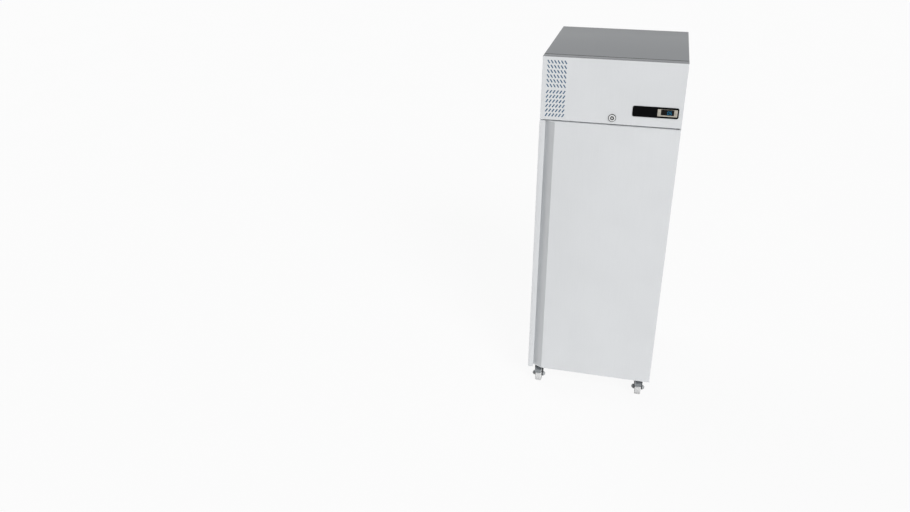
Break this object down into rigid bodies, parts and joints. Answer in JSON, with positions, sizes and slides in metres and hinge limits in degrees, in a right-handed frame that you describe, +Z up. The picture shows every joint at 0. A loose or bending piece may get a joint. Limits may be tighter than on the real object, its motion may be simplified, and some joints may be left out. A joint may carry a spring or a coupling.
{
  "type": "reach in refrigerator",
  "caption": "Upright steel refrigerator on swivel castors with a full-height hinged door, a finger-recess handle, a vented fascia with a controller and lock, and wire shelves inside.",
  "frame": {"origin": "on the floor under the middle of the cabinet's overall box", "axes": "+Z up along the cabinet's height, -Y out of the door's face, +X towards the hinged side"},
  "size_m": [0.73, 0.848, 2.03],
  "materials": {
    "stainless_steel": "satin",
    "grey_sheet": "satin",
    "insulating_foam": "matte",
    "pale_plastic": "satin",
    "filter_mesh": "matte",
    "black_plastic": "gloss",
    "silver_plastic": "satin",
    "display_window": "gloss",
    "zinc_steel": "satin",
    "seal_rubber": "matte",
    "shelf_wire": "polished",
    "coil_aluminium": "satin",
    "motor_black": "satin",
    "copper": "satin",
    "box_grey": "matte",
    "fork_steel": "satin",
    "wheel_nylon": "satin",
    "pedal_steel": "satin"
  },
  "bodies": {
    "cabinet": {"side_panels": "stainless_steel", "back_panel": "stainless_steel", "base_panel": "stainless_steel", "inner_liner": "stainless_steel", "fascia_panel": "stainless_steel", "rear_grille": "stainless_steel", "shelf_posts": "stainless_steel", "shelf_runners": "stainless_steel", "lock_body": "stainless_steel", "machine_deck": "grey_sheet", "top_panels": "grey_sheet", "condenser_shroud": "grey_sheet", "hinge_brackets": "grey_sheet", "body_insulation": "insulating_foam", "door_frame": "pale_plastic", "evaporator_cover": "pale_plastic", "drip_pan": "pale_plastic", "drain_pipe": "pale_plastic", "air_filter": "filter_mesh", "controller_bezel": "black_plastic", "mains_gland": "black_plastic", "controller_housing": "silver_plastic", "controller_display": "display_window", "hinge_pins": "zinc_steel", "panel_screws": "zinc_steel", "castor_plates": "zinc_steel", "castor_bolts": "zinc_steel", "compressor_feet": "seal_rubber", "wire_shelves": "shelf_wire", "evaporator_coil": "coil_aluminium", "condenser_coil": "coil_aluminium", "compressor": "motor_black", "condenser_fan_motor": "motor_black", "evaporator_fan_motor": "motor_black", "refrigerant_pipes": "copper", "filter_drier": "copper", "electrical_box": "box_grey"},
    "door": {"door_skin": "stainless_steel", "door_handle": "stainless_steel", "door_insulation": "insulating_foam", "door_inner_panel": "stainless_steel", "door_gasket": "seal_rubber", "door_end_caps": "stainless_steel", "hinge_bushes": "pale_plastic"},
    "lock": {"lock_barrel": "zinc_steel", "lock_cam": "zinc_steel"},
    "key_left": {"key_left": "silver_plastic"},
    "key_right": {"key_right": "silver_plastic"},
    "condenser_fan": {"condenser_fan": "black_plastic"},
    "evaporator_fan": {"evaporator_fan": "black_plastic"},
    "castor_front_left": {"castor_fork_front_left": "fork_steel"},
    "wheel_front_left": {"castor_wheel_front_left": "wheel_nylon"},
    "brake_front_left": {"brake_pedal_front_left": "pedal_steel"},
    "castor_front_right": {"castor_fork_front_right": "fork_steel"},
    "wheel_front_right": {"castor_wheel_front_right": "wheel_nylon"},
    "brake_front_right": {"brake_pedal_front_right": "pedal_steel"},
    "castor_rear_left": {"castor_fork_rear_left": "fork_steel"},
    "wheel_rear_left": {"castor_wheel_rear_left": "wheel_nylon"},
    "castor_rear_right": {"castor_fork_rear_right": "fork_steel"},
    "wheel_rear_right": {"castor_wheel_rear_right": "wheel_nylon"}
  },
  "joints": [
    {"name": "door_swing", "type": "hinge", "parent": "cabinet", "child": "door", "pos_m": [0.349, -0.4, 0.913], "axis": [0, 0, 1], "range_deg": [0, 110]},
    {"name": "lock_turn", "type": "hinge", "parent": "cabinet", "child": "lock", "pos_m": [0.012, -0.4, 1.7295], "axis": [0, 1, 0], "range_deg": [0, 90]},
    {"name": "key_left_press", "type": "slide", "parent": "cabinet", "child": "key_left", "axis": [0, 1, 0], "range_m": [0, 0.0008], "stiffness_N_per_m": 300},
    {"name": "key_right_press", "type": "slide", "parent": "cabinet", "child": "key_right", "axis": [0, 1, 0], "range_m": [0, 0.0008], "stiffness_N_per_m": 300},
    {"name": "condenser_fan_spin", "type": "hinge", "parent": "cabinet", "child": "condenser_fan", "pos_m": [-0.216, -0.273, 1.822], "axis": [0, 1, 0], "continuous": true},
    {"name": "evaporator_fan_spin", "type": "hinge", "parent": "cabinet", "child": "evaporator_fan", "pos_m": [0, -0.076, 1.5295], "axis": [0, 0, 1], "continuous": true},
    {"name": "castor_front_left_swivel", "type": "hinge", "parent": "cabinet", "child": "castor_front_left", "pos_m": [-0.304, -0.316, 0.1], "axis": [0, 0, 1], "continuous": true},
    {"name": "wheel_front_left_roll", "type": "hinge", "parent": "castor_front_left", "child": "wheel_front_left", "pos_m": [-0.304, -0.35, 0.045], "axis": [1, 0, 0], "continuous": true},
    {"name": "brake_front_left_press", "type": "hinge", "parent": "castor_front_left", "child": "brake_front_left", "pos_m": [-0.304, -0.352, 0.099], "axis": [1, 0, 0], "range_deg": [0, 13]},
    {"name": "castor_front_right_swivel", "type": "hinge", "parent": "cabinet", "child": "castor_front_right", "pos_m": [0.304, -0.316, 0.1], "axis": [0, 0, 1], "continuous": true},
    {"name": "wheel_front_right_roll", "type": "hinge", "parent": "castor_front_right", "child": "wheel_front_right", "pos_m": [0.304, -0.35, 0.045], "axis": [1, 0, 0], "continuous": true},
    {"name": "brake_front_right_press", "type": "hinge", "parent": "castor_front_right", "child": "brake_front_right", "pos_m": [0.304, -0.352, 0.099], "axis": [1, 0, 0], "range_deg": [0, 13]},
    {"name": "castor_rear_left_swivel", "type": "hinge", "parent": "cabinet", "child": "castor_rear_left", "pos_m": [-0.304, 0.384, 0.1], "axis": [0, 0, 1], "continuous": true},
    {"name": "wheel_rear_left_roll", "type": "hinge", "parent": "castor_rear_left", "child": "wheel_rear_left", "pos_m": [-0.304, 0.35, 0.045], "axis": [1, 0, 0], "continuous": true},
    {"name": "castor_rear_right_swivel", "type": "hinge", "parent": "cabinet", "child": "castor_rear_right", "pos_m": [0.304, 0.384, 0.1], "axis": [0, 0, 1], "continuous": true},
    {"name": "wheel_rear_right_roll", "type": "hinge", "parent": "castor_rear_right", "child": "wheel_rear_right", "pos_m": [0.304, 0.35, 0.045], "axis": [1, 0, 0], "continuous": true}
  ]
}
